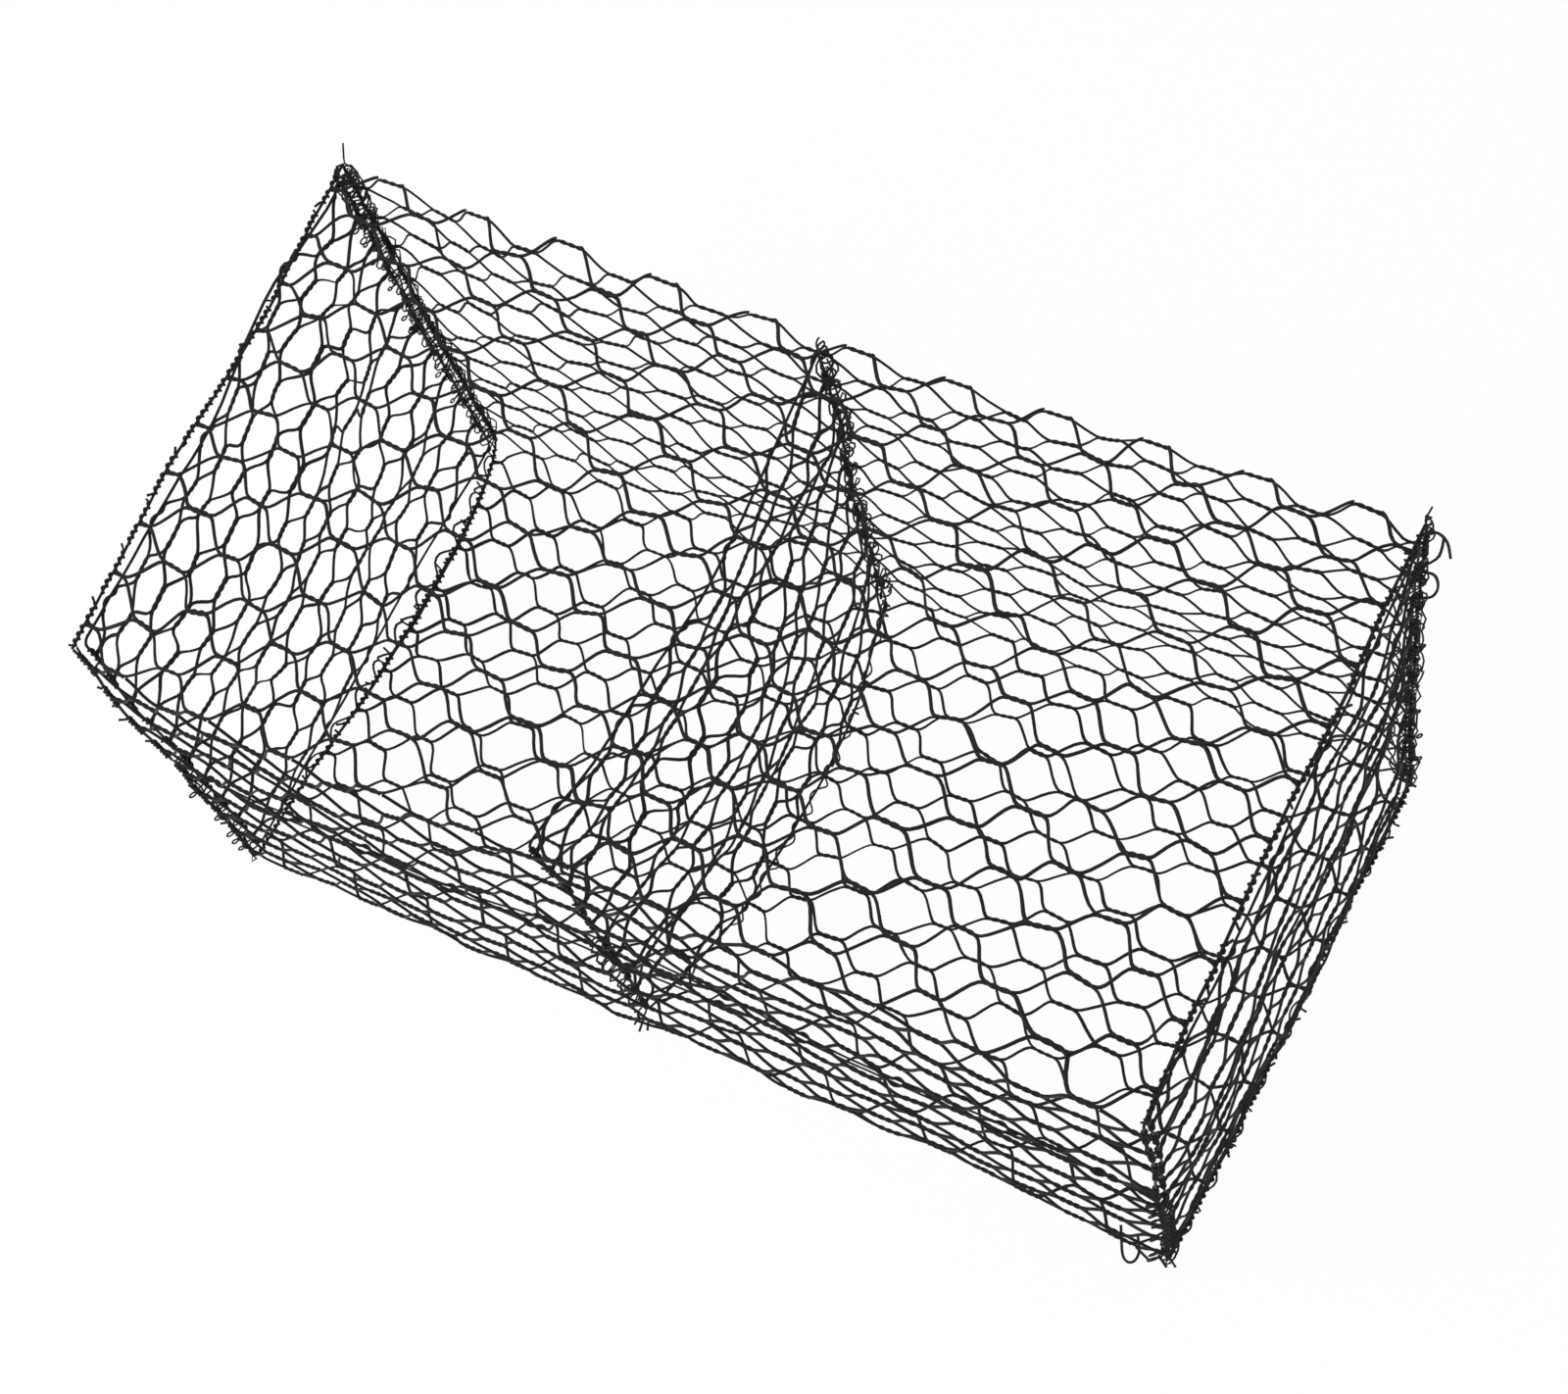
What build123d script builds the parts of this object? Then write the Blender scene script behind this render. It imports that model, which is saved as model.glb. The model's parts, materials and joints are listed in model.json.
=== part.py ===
from build123d import *
import math
import os

# A gabion basket: a box of double-twist hexagonal wire mesh for filling with stone.
# One woven sheet is folded into lower front, base and back, and runs on over the
# top as the lid and down the front as a flap. Each flat part of it is a solid of its
# own, which meets the next along a row of twists. Two end panels and a diaphragm are
# laced into it. X runs along the length, the front is at -Y, and Z points up from
# the centre of the underside. Millimetres throughout.

# Overall sizes
length = 2000.0
width = 1000.0
height = 1000.0
seam_height = 500.0
seam_spacing = 14.0
diaphragm_x = -72.0
diaphragm_sag = 90.0

# Wires
mesh_wire = 3.7
edge_wire = 4.4
lacing_wire = 3.2
clearance = 0.3
bend_cut = 8.0
wire_sides = 8
lacing_sides = 6
sag_steps = 10

# Mesh counts, and the shape of one mesh opening. The real mesh has ten rows across
# and eleven periods along. Half as many of each keep the same look with fewer faces.
rows_across = 5
rows_at_seam = 2
periods_along = 5
periods_across = 3
twist_share = 0.25
rim_width = 6.0

# Lacing
loop_rise = 9.0
corner_loop_offset = 42.0
bottom_loop_offset = 60.0
diaphragm_loop_half = 12.0
tail_length = 34.0
tail_rise = 12.0

# Planes that the pieces lie in, at the middle of their wire
edge_step = edge_wire + clearance
end_x = length / 2 - edge_wire / 2
side_y = width / 2 - edge_wire / 2
base_z = lacing_wire + clearance + edge_wire / 2
lid_z = height - edge_wire / 2
fold_z = lid_z - edge_wire / 2 - clearance
lower_selvedge_z = seam_height - seam_spacing / 2
flap_selvedge_z = seam_height + seam_spacing / 2
frame_side_y = side_y - edge_step
frame_base_z = base_z + edge_step
frame_top_z = fold_z - edge_wire / 2

# Half sizes of the mesh that each edge wire holds
sheet_half = end_x - edge_wire / 2 - clearance
panel_half = frame_side_y - edge_wire / 2 - clearance
panel_low = frame_base_z + edge_wire / 2 + clearance


def opening(period, pitch):
    """The six corners of one mesh opening, centred on the origin, twists along X."""
    twist_half = period * twist_share / 2
    slant_run = period / 2 - 2 * twist_half
    slant_rise = pitch / 2
    inset = mesh_wire / 2 * math.hypot(slant_run, slant_rise) / slant_rise
    top = slant_rise - mesh_wire
    tip = twist_half + slant_run - inset
    corner = tip - slant_run * top / slant_rise
    return [(tip, 0), (corner, top), (-corner, top), (-tip, 0), (-corner, -top), (corner, -top)]


def openings(u_low, u_high, periods, v_low, v_high, rows):
    """All the openings of a panel that has rows of twists on both of its v edges."""
    period = (u_high - u_low) / periods
    pitch = (v_high - v_low) / rows
    corners = opening(period, pitch)
    shapes = []
    for column in range(2 * periods + 1):
        on_edge = column % 2 == 0
        count = rows + 1 if on_edge else rows
        shift = 0 if on_edge else 0.5
        u = u_low + column * period / 2
        for row in range(count):
            v = v_low + (row + shift) * pitch
            shapes.append(Pos(u, v) * Polygon(*corners, align=None))
    return shapes


def rectangle(u_low, u_high, v_low, v_high):
    """A rectangle given by its limits."""
    centre = Pos((u_low + u_high) / 2, (v_low + v_high) / 2)
    return centre * Rectangle(u_high - u_low, v_high - v_low)


def mesh(outline, window, holes, plane):
    """A flat panel of mesh in a plane, with the openings cut where the window lets them."""
    cut = [piece for hole in holes for piece in (hole & window).faces()]
    return extrude(plane.offset(-mesh_wire / 2) * (outline - cut), mesh_wire)


def sheet_part(v_low, v_high, row_low, row_high, rows, rim_low, rim_high, plane):
    """A full-length part of the folded sheet, between two rows of twists."""
    outline = rectangle(-sheet_half, sheet_half, v_low, v_high)
    window_low = v_low + rim_width if rim_low else v_low - edge_wire
    window_high = v_high - rim_width if rim_high else v_high + edge_wire
    inner = sheet_half - rim_width
    window = rectangle(-inner, inner, window_low, window_high)
    holes = openings(-sheet_half, sheet_half, periods_along, row_low, row_high, rows)
    return mesh(outline, window, holes, plane)


def bent_wire(points, diameter, sides, close=False):
    """A wire along straight runs, with a mitre at each bend."""
    path = Polyline(*points, close=close)
    section = Plane(origin=path @ 0, z_dir=path % 0) * RegularPolygon(diameter / 2, sides)
    return sweep(section, path=path, transition=Transition.RIGHT)


flat_plane = Plane(origin=(0, 0, base_z), x_dir=(1, 0, 0), z_dir=(0, 0, 1))
lid_plane = Plane(origin=(0, 0, lid_z), x_dir=(1, 0, 0), z_dir=(0, 0, 1))
back_plane = Plane(origin=(0, side_y, 0), x_dir=(1, 0, 0), z_dir=(0, -1, 0))
front_plane = Plane(origin=(0, -side_y, 0), x_dir=(1, 0, 0), z_dir=(0, -1, 0))
sheet_skin = mesh_wire / 2
selvedge_seat = edge_wire / 2 + clearance


def base_mesh():
    """The sheet's bottom. It holds the rows of twists that lie on both lower folds."""
    reach = side_y + sheet_skin
    return sheet_part(-reach, reach, -side_y, side_y, rows_across, False, False, flat_plane)


def back_mesh():
    """The sheet's back, from the base's fold up to the lid's fold."""
    low = base_z + sheet_skin
    return sheet_part(low, fold_z, base_z, fold_z, rows_across, False, False, back_plane)


def lower_front_mesh():
    """The start of the sheet: the front's lower half, up to its selvedge wire."""
    low = base_z + sheet_skin
    top = lower_selvedge_z - selvedge_seat
    return sheet_part(low, top, base_z, lower_selvedge_z, rows_at_seam, False, True, front_plane)


def lid_mesh():
    """The lid: the part of the sheet that folds over from the back's top edge."""
    reach = side_y + sheet_skin
    return sheet_part(-reach, reach, -side_y, side_y, rows_across, False, False, lid_plane)


def flap_mesh():
    """The flap: the end of the sheet, folded down over the upper front."""
    low = flap_selvedge_z + selvedge_seat
    return sheet_part(low, fold_z, flap_selvedge_z, fold_z, rows_at_seam, True, False, front_plane)


def top_edge(sag):
    """Points along an upright panel's top edge wire: an arc that sags, or a line."""
    if not sag:
        return [(frame_side_y, frame_top_z), (-frame_side_y, frame_top_z)]
    radius = (frame_side_y**2 + sag**2) / (2 * sag)
    centre_z = frame_top_z - sag + radius
    reach = math.asin(frame_side_y / radius)
    angles = [reach * (1 - 2 * step / sag_steps) for step in range(1, sag_steps)]
    arc = [(radius * math.sin(angle), centre_z - radius * math.cos(angle)) for angle in angles]
    return [(frame_side_y, frame_top_z), *arc, (-frame_side_y, frame_top_z)]


def towards(start, end, distance):
    """The point at a distance from start, on the way to end."""
    share = distance / math.dist(start, end)
    return tuple(a + (b - a) * share for a, b in zip(start, end))


def panel_points(sag):
    """Points round the middle of a panel's edge wire, each corner cut to make a bend."""
    bottom = [(-frame_side_y, frame_base_z), (0, frame_base_z), (frame_side_y, frame_base_z)]
    loop = [*bottom[1:], *top_edge(sag), bottom[0]]
    points = []
    for before, point, after in zip(loop[-1:] + loop[:-1], loop, loop[1:] + loop[:1]):
        if abs(point[0]) < frame_side_y:
            points.append(point)
        else:
            points.append(towards(point, before, bend_cut))
            points.append(towards(point, after, bend_cut))
    return points


def panel_outline(inset, sag):
    """An upright panel's outline, inset from the edge wire that runs round it."""
    shape = make_face(Polyline(*panel_points(sag), close=True))
    return offset(shape, amount=-inset, kind=Kind.INTERSECTION)


def upright_panel(x, sag):
    """An end panel or the diaphragm, woven with its twists level."""
    plane = Plane(origin=(x, 0, 0), x_dir=(0, 1, 0), z_dir=(1, 0, 0))
    outline = panel_outline(selvedge_seat, sag)
    window = panel_outline(selvedge_seat + rim_width, sag)
    holes = openings(-panel_half, panel_half, periods_across, frame_base_z, frame_top_z, rows_across)
    return mesh(outline, window, holes, plane)


def panel_edge_wire(x, sag):
    """The edge wire that runs all round an upright panel."""
    points = [(x, y, z) for y, z in panel_points(sag)]
    return bent_wire(points, edge_wire, wire_sides, close=True)


def body_edge_wire(side):
    """The wire that the cut edge of the sheet is wrapped on, from seam to back fold."""
    x = side * end_x
    cut = bend_cut + edge_step * (2 - math.sqrt(2))
    points = [
        (x, -side_y, lower_selvedge_z - selvedge_seat),
        (x, -side_y, base_z + cut),
        (x, cut - side_y, base_z),
        (x, side_y - cut, base_z),
        (x, side_y, base_z + cut),
        (x, side_y, fold_z),
    ]
    return bent_wire(points, edge_wire, wire_sides)


def lid_edge_wire(side):
    """The wire along one cut end of the lid."""
    x = side * end_x
    ends = [(x, -width / 2, lid_z), (x, width / 2 - clearance, lid_z)]
    return bent_wire(ends, edge_wire, wire_sides)


def flap_edge_wire(side):
    """The wire along one cut end of the flap."""
    x = side * end_x
    ends = [(x, -side_y, flap_selvedge_z + selvedge_seat), (x, -side_y, fold_z)]
    return bent_wire(ends, edge_wire, wire_sides)


def selvedge_wire(z):
    """A woven-in selvedge wire, along the whole front."""
    ends = [(-length / 2, -side_y, z), (length / 2, -side_y, z)]
    return bent_wire(ends, edge_wire, wire_sides)


def lacing(stations, corners, place, before, after):
    """A lacing wire: one turn round the edge wires at each station, and two loose ends.

    corners are the four corners of a turn across the edge, the outside one first.
    place makes a point from a corner and a distance along the edge.
    """
    points = list(before)
    for station in stations:
        for turn in range(5):
            points.append(place(corners[turn % 4], station + (turn / 4 - 0.5) * loop_rise))
    return bent_wire([*points, *after], lacing_wire, lacing_sides)


lace_gap = clearance + lacing_wire / 2
lace_out_x = end_x + edge_wire / 2 + lace_gap
lace_out_y = side_y + edge_wire / 2 + lace_gap
lace_out_z = base_z - edge_wire / 2 - lace_gap
lace_in_x = sheet_half - rim_width - 2 * lacing_wire
lace_in_y = panel_half - rim_width - 2 * lacing_wire
lace_in_z = panel_low + rim_width + 2 * lacing_wire
sheet_period = 2 * sheet_half / periods_along
panel_period = 2 * panel_half / periods_across
front_lace_top = lower_selvedge_z - edge_wire / 2 - lacing_wire


def beside(centres, offset, low, high):
    """Stations on both sides of each centre, where they fall between the limits."""
    both = [centre + side * offset for centre in centres for side in (-1, 1)]
    return sorted(station for station in both if low < station < high)


def slant_crossings(x, start, pitch, rows):
    """Where the slanted wires of the sheet cross the line of the diaphragm."""
    columns = (x + sheet_half) / (sheet_period / 2)
    column = math.floor(columns)
    progress = (columns - column - twist_share) / (1 - 2 * twist_share)
    progress = min(max(progress, 0.2), 0.8)
    first = 0.5 if column % 2 == 0 else 0.0
    centres = [start + (row + first) * pitch for row in range(-1, rows + 1)]
    return beside(centres, progress * pitch / 2, start, start + rows * pitch)


def corner_lacing(side_x, side_front, pitch, rows, high, before, after):
    """The lacing up one vertical corner of the basket."""
    out_x = side_x * lace_out_x
    out_y = side_front * lace_out_y
    in_x = side_x * lace_in_x
    in_y = side_front * lace_in_y
    corners = [(out_x, out_y), (in_x, out_y), (in_x, in_y), (out_x, in_y)]
    centres = [base_z + row * pitch for row in range(rows + 1)]
    stations = beside(centres, corner_loop_offset, lace_in_z, high)
    return lacing(stations, corners, lambda corner, z: (*corner, z), before, after)


def bottom_lacing(corners, stations, before, after):
    """A lacing along the bottom edge of an upright panel."""
    return lacing(stations, corners, lambda corner, y: (corner[0], y, corner[1]), before, after)


def end_bottom_lacing(side_x):
    """The lacing along the bottom of one end panel."""
    out_x = side_x * lace_out_x
    in_x = side_x * lace_in_x
    corners = [(out_x, lace_out_z), (in_x, lace_out_z), (in_x, lace_in_z), (out_x, lace_in_z)]
    centres = [-panel_half + column * panel_period for column in range(periods_across + 1)]
    stations = beside(centres, bottom_loop_offset, -lace_in_y, lace_in_y)
    before = [(out_x, stations[0] - tail_length, lace_out_z)]
    after = [(out_x, stations[-1] + tail_length, lace_out_z)]
    return bottom_lacing(corners, stations, before, after)


def diaphragm_bottom_lacing():
    """The lacing along the bottom of the diaphragm."""
    near_x = diaphragm_x - diaphragm_loop_half
    far_x = diaphragm_x + diaphragm_loop_half
    corners = [(near_x, lace_out_z), (far_x, lace_out_z), (far_x, lace_in_z), (near_x, lace_in_z)]
    pitch = 2 * side_y / rows_across
    centres = [-panel_half + column * panel_period for column in range(periods_across + 1)]
    reach = panel_period * (0.5 - twist_share / 2) - lace_in_z
    stations = [
        y
        for y in slant_crossings(diaphragm_x, -side_y, pitch, rows_across)
        if min(abs(y - centre) for centre in centres) < reach
    ]
    before = [(near_x, stations[0] - tail_length, lace_out_z)]
    after = [(near_x, stations[-1] + tail_length, lace_out_z)]
    return bottom_lacing(corners, stations, before, after)


def diaphragm_side_lacing(side_front, pitch, rows, high):
    """The lacing up the front or the back edge of the diaphragm."""
    near_x = diaphragm_x - diaphragm_loop_half
    far_x = diaphragm_x + diaphragm_loop_half
    out_y = side_front * lace_out_y
    in_y = side_front * lace_in_y
    corners = [(near_x, out_y), (far_x, out_y), (far_x, in_y), (near_x, in_y)]
    crossings = slant_crossings(diaphragm_x, base_z, pitch, rows)
    stations = [z for z in crossings if lace_in_z < z < high]
    before = [(near_x, out_y + side_front * tail_length, tail_rise), (near_x, out_y, tail_rise)]
    return lacing(stations, corners, lambda corner, z: (*corner, z), before, [])


back_pitch = (fold_z - base_z) / rows_across
front_pitch = (lower_selvedge_z - base_z) / rows_at_seam
top_end = height + tail_length


def back_corner_lacing(side_x):
    """The lacing of a back corner, with its ends out sideways below and up above."""
    x = side_x * lace_out_x
    before = [(x + side_x * tail_length, lace_out_y, tail_rise), (x, lace_out_y, tail_rise)]
    after = [(x, lace_out_y, top_end)]
    high = fold_z - lacing_wire
    return corner_lacing(side_x, 1, back_pitch, rows_across, high, before, after)


def front_corner_lacing(side_x):
    """The lacing of a lower front corner, with its lower end out to the front."""
    x = side_x * lace_out_x
    before = [(x, -lace_out_y - tail_length, tail_rise), (x, -lace_out_y, tail_rise)]
    return corner_lacing(side_x, -1, front_pitch, rows_at_seam, front_lace_top, before, [])


if __name__ == "__main__":
    os.makedirs("parts", exist_ok=True)
    nodes = {
        "base_mesh": base_mesh(),
        "back_mesh": back_mesh(),
        "lower_front_mesh": lower_front_mesh(),
        "lid_mesh": lid_mesh(),
        "flap_mesh": flap_mesh(),
        "left_end_mesh": upright_panel(-end_x, 0),
        "right_end_mesh": upright_panel(end_x, 0),
        "diaphragm_mesh": upright_panel(diaphragm_x, diaphragm_sag),
        "left_end_edge_wire": panel_edge_wire(-end_x, 0),
        "right_end_edge_wire": panel_edge_wire(end_x, 0),
        "diaphragm_edge_wire": panel_edge_wire(diaphragm_x, diaphragm_sag),
        "body_edge_wire_left": body_edge_wire(-1),
        "body_edge_wire_right": body_edge_wire(1),
        "lid_edge_wire_left": lid_edge_wire(-1),
        "lid_edge_wire_right": lid_edge_wire(1),
        "flap_edge_wire_left": flap_edge_wire(-1),
        "flap_edge_wire_right": flap_edge_wire(1),
        "body_front_selvedge_wire": selvedge_wire(lower_selvedge_z),
        "flap_selvedge_wire": selvedge_wire(flap_selvedge_z),
        "left_back_lacing": back_corner_lacing(-1),
        "right_back_lacing": back_corner_lacing(1),
        "left_front_lacing": front_corner_lacing(-1),
        "right_front_lacing": front_corner_lacing(1),
        "left_bottom_lacing": end_bottom_lacing(-1),
        "right_bottom_lacing": end_bottom_lacing(1),
        "diaphragm_bottom_lacing": diaphragm_bottom_lacing(),
        "diaphragm_back_lacing": diaphragm_side_lacing(1, back_pitch, rows_across, fold_z - edge_wire * 4),
        "diaphragm_front_lacing": diaphragm_side_lacing(-1, front_pitch, rows_at_seam, front_lace_top),
    }
    for name, solid in nodes.items():
        export_step(solid, f"parts/{name}.step")
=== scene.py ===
# %% [markdown]
# # A gabion basket of woven wire
#
# A gabion is a box of heavy wire mesh. It stands empty on the ground, is filled with stone
# and is closed with its own lid. This lesson dresses a plain construction model of one: the
# flat pierced plates become real double-twist mesh, with hundreds of twists, cut ends that
# are wound on the edge wires, and lacing that ties the panels together by hand.

# %% [markdown]
# ## Starting from the construction model
#
# Two sources of chance make the wires uneven: Python's random numbers and Blender's noise.
# Both get a fixed seed, because noise vectors are otherwise seeded by the clock, and then
# every run would make another basket.

# %% Load the construction model
import json
import math
import random

import bpy
from mathutils import Matrix, Vector, noise


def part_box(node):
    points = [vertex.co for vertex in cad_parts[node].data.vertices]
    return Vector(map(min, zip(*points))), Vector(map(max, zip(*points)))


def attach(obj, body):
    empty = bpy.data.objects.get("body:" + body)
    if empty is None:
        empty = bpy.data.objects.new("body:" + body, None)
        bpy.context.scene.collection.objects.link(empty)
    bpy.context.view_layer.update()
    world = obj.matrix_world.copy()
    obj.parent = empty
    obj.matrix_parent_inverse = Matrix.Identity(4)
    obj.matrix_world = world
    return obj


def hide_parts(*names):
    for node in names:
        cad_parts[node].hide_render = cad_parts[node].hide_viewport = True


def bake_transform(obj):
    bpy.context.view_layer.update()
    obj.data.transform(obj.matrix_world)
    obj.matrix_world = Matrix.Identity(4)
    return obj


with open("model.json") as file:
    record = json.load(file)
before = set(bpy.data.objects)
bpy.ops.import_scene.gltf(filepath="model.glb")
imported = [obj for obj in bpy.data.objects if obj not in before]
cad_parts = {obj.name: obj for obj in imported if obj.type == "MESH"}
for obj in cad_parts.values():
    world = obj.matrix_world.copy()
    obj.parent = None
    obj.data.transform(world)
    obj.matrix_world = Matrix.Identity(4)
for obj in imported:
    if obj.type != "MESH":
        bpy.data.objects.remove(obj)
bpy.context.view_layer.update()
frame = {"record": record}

mm = 0.001
chance = random.Random(41)
noise.seed_set(41)

# %% [markdown]
# ## Where everything lies
#
# Every place comes from the construction model's own boxes, so that nothing has to be fitted
# by eye. A wire's place is the line through its middle. X runs along the basket, the flap is
# at the front on the minus Y side, and Z is up. The wires here are thicker than the model's,
# so the bottom mesh is lifted a little, to lie on the ground and not in it.

# %% Read the planes
def middle(node, axis):
    """The middle of a node's box along one axis."""
    low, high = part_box(node)
    return (low[axis] + high[axis]) / 2


end_x = middle("right_end_mesh", 0)
back_y = middle("back_mesh", 1)
floor_gap = 2.8 * mm
base_z = middle("base_mesh", 2) + floor_gap
lid_z = middle("lid_mesh", 2)
fold_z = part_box("back_mesh")[1][2]
lower_seam_z = middle("body_front_selvedge_wire", 2)
upper_seam_z = middle("flap_selvedge_wire", 2)
divider_x = middle("diaphragm_mesh", 0)
sheet_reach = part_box("base_mesh")[1][0]
print("end", round(end_x, 4), "back", round(back_y, 4), "base", round(base_z, 4), "lid", round(lid_z, 4))

# %% [markdown]
# ## Sizes of the wires and of the weave
#
# Each wire is as thick here as its line is wide in the photograph. That is more than a gauge
# would read, and it differs from side to side: the back and the right side look finer. The
# openings were counted there too, about eleven along the basket and ten across it. Two edge
# wires that are laced together lie one bundle step apart.

# %% Thickness of each wire
mesh_wire = 5.9 * mm
back_wire = 4.4 * mm
right_end_wire = 5.2 * mm
coil_wire = 4.7 * mm
fine_coil_wire = 3.7 * mm
edge_wire = 5.6 * mm
right_edge_wire = 4.4 * mm
seam_wire = 3.8 * mm
lacing_wire = 4 * mm
back_lacing_wire = 3.4 * mm
tail_wire = 5.2 * mm

# %% Sizes of the weave
coil_radius = 4.1 * mm
twist_radius = 1.6 * mm
twist_length = 45 * mm
half_periods_along = 22
half_periods_across = 11
rows_up = 10
rows_below_seam = 5
rows_in_flap = 4
step_along = 4 * sheet_reach / half_periods_along
step_across = 2 * back_y / rows_up
print("a twist every", round(step_along / mm), "mm along and every", round(step_across / mm), "mm across")

# %% Where the upright panels end
bundle_step = 21 * mm
panel_y = back_y - bundle_step
panel_low_z = base_z + bundle_step
panel_top_z = lid_z - bundle_step
print("an upright panel is", round(panel_top_z - panel_low_z, 3), "m high")

# %% [markdown]
# ## The camera
#
# The photograph looks down on the front right corner from about four and a half metres, with
# the camera held crooked. The lens and the place were found by fitting a box of 2 x 1 x 1 m
# to its twelve edges. A camera is aimed with a track quaternion and then rolled about its own
# line of sight.

# %% Place the camera
photo_width = 1600
focal_length_in_pixels = 2584
sensor_width = 36
camera_place = Vector((1.495, -1.255, 4.499))
camera_aim = Vector((0.020, 0.046, 0.5))
camera_roll = math.radians(-23.9)

line_of_sight = camera_aim - camera_place
turned = line_of_sight.to_track_quat("-Z", "Y").to_matrix() @ Matrix.Rotation(camera_roll, 3, "Z")
bpy.ops.object.camera_add(location=camera_place, rotation=turned.to_euler())
camera = bpy.context.object
camera.data.sensor_width = sensor_width
camera.data.lens = sensor_width * focal_length_in_pixels / photo_width
bpy.context.scene.camera = camera
print("lens", round(camera.data.lens, 1), "mm, distance", round(line_of_sight.length, 2), "m")

# %% [markdown]
# ## Shader maths in plain Python
#
# A material is a tree of nodes. A small class around one socket lets the maths between
# sockets be written as plain expressions, and its node method adds any other node. The floor,
# the sky and the wire finishes all use it.

# %% A small class for shader maths
class Value:
    """A socket that can be added, subtracted and multiplied in plain Python."""

    def __init__(self, tree, socket=None):
        self.tree = tree
        self.socket = socket

    def node(self, kind, output=0, settings=None, inputs=None):
        """Adds any node, sets or links its inputs by name or number, and gives one of its outputs."""
        made = self.tree.nodes.new(kind)
        for key, value in (settings or {}).items():
            setattr(made, key, value)
        for key, value in (inputs or {}).items():
            if isinstance(value, Value):
                self.tree.links.new(value.socket, made.inputs[key])
            else:
                made.inputs[key].default_value = value
        return Value(self.tree, made.outputs[output] if len(made.outputs) else None)

    def maths(self, operation, other=0.0, swap=False):
        """A Math node of this value and another one, or of the two the other way round."""
        first, second = (other, self) if swap else (self, other)
        return self.node("ShaderNodeMath", 0, {"operation": operation}, {0: first, 1: second})

    def __add__(self, other):
        return self.maths("ADD", other)

    __radd__ = __add__

    def __sub__(self, other):
        return self.maths("SUBTRACT", other)

    def __rsub__(self, other):
        return self.maths("SUBTRACT", other, swap=True)

    def __mul__(self, other):
        return self.maths("MULTIPLY", other)

    __rmul__ = __mul__

    def clamp(self):
        return self.node("ShaderNodeClamp", 0, None, {"Value": self})

    def between(self, low, high):
        """A colour between two colours, by this value."""
        return self.node("ShaderNodeMix", 2, {"data_type": "RGBA"}, {0: self, 6: low, 7: high})


# %% [markdown]
# ## Floor and light
#
# The photograph has a plain white ground. The floor is white, and for the camera alone it is
# partly lit from itself, so that it stays white while the wires still leave a faint shadow.
# The sky is even and pale, and pure white where the camera looks straight at it. One large
# soft lamp gives the wires their thin highlights.

# %% White for the camera
def seen_by_camera(tree):
    """1 for rays from the camera, straight, by a mirror or through glass, and 0 for the others."""
    start = Value(tree)
    camera_ray = start.node("ShaderNodeLightPath", "Is Camera Ray")
    glossy_ray = start.node("ShaderNodeLightPath", "Is Glossy Ray")
    clear_ray = start.node("ShaderNodeLightPath", "Is Transmission Ray")
    return camera_ray.maths("MAXIMUM", glossy_ray).maths("MAXIMUM", clear_ray)


# %% Build the floor
floor_size = 60
floor_white = (0.9, 0.9, 0.9, 1)
lit_from_itself = 0.96


def floor_material():
    """White paint that keeps a shadow but looks white to the camera."""
    material = bpy.data.materials.new("floor_white")
    material.use_nodes = True
    tree = material.node_tree
    tree.nodes.clear()
    start = Value(tree)
    paint = start.node("ShaderNodeBsdfDiffuse", 0, None, {"Color": floor_white})
    glow = start.node("ShaderNodeEmission")
    share = seen_by_camera(tree) * lit_from_itself
    mix = start.node("ShaderNodeMixShader", 0, None, {0: share, 1: paint, 2: glow})
    start.node("ShaderNodeOutputMaterial", 0, None, {"Surface": mix})
    return material


bpy.ops.object.select_all(action="DESELECT")
bpy.ops.mesh.primitive_plane_add(size=floor_size, location=(0, 0, 0))
floor = bpy.context.object
floor.name = "floor"
floor.data.materials.append(floor_material())

# %% Light the sky
sky_white = (1, 1, 1, 1)
sky_strength = 0.75
world = bpy.data.worlds.new("sky")
bpy.context.scene.world = world
world.use_nodes = True
world.node_tree.nodes.clear()
sky = Value(world.node_tree)
sky_light = sky.node("ShaderNodeBackground", 0, None, {"Color": sky_white, "Strength": sky_strength})
sky_seen = sky.node("ShaderNodeBackground", 0, None, {"Color": sky_white, "Strength": 1.0})
sky_mix = sky.node(
    "ShaderNodeMixShader", 0, None, {0: seen_by_camera(world.node_tree), 1: sky_light, 2: sky_seen}
)
sky.node("ShaderNodeOutputWorld", 0, None, {"Surface": sky_mix})
bpy.context.scene.view_settings.view_transform = "Standard"

# %% Hang the lamp
lamp_place = (-2.2, -2.6, 5.0)
lamp_aim = Vector((0, 0, 0.5))
bpy.ops.object.light_add(type="AREA", location=lamp_place)
lamp = bpy.context.object
lamp.data.energy = 160
lamp.data.size = 2.5
lamp.rotation_euler = (lamp_aim - lamp.location).to_track_quat("-Z", "Y").to_euler()
print("lamp of", lamp.data.energy, "W,", lamp.data.size, "m wide")

# %% [markdown]
# ## Drawing a wire
#
# A wire is bent by hand along a path, so it is drawn that way: points along its middle, a
# round bevel for its thickness, and then the curve is made a mesh. Many wires can be drawn
# in one curve object, which keeps the mesh tidy and the work quick. Six sides are enough for
# a wire that is only a few pixels thick.

# %% A helper that draws wires
def select_only(*objects):
    """Selects these objects alone, with the first one active."""
    bpy.ops.object.select_all(action="DESELECT")
    for item in objects:
        item.select_set(True)
    bpy.context.view_layer.objects.active = objects[0]


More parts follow.
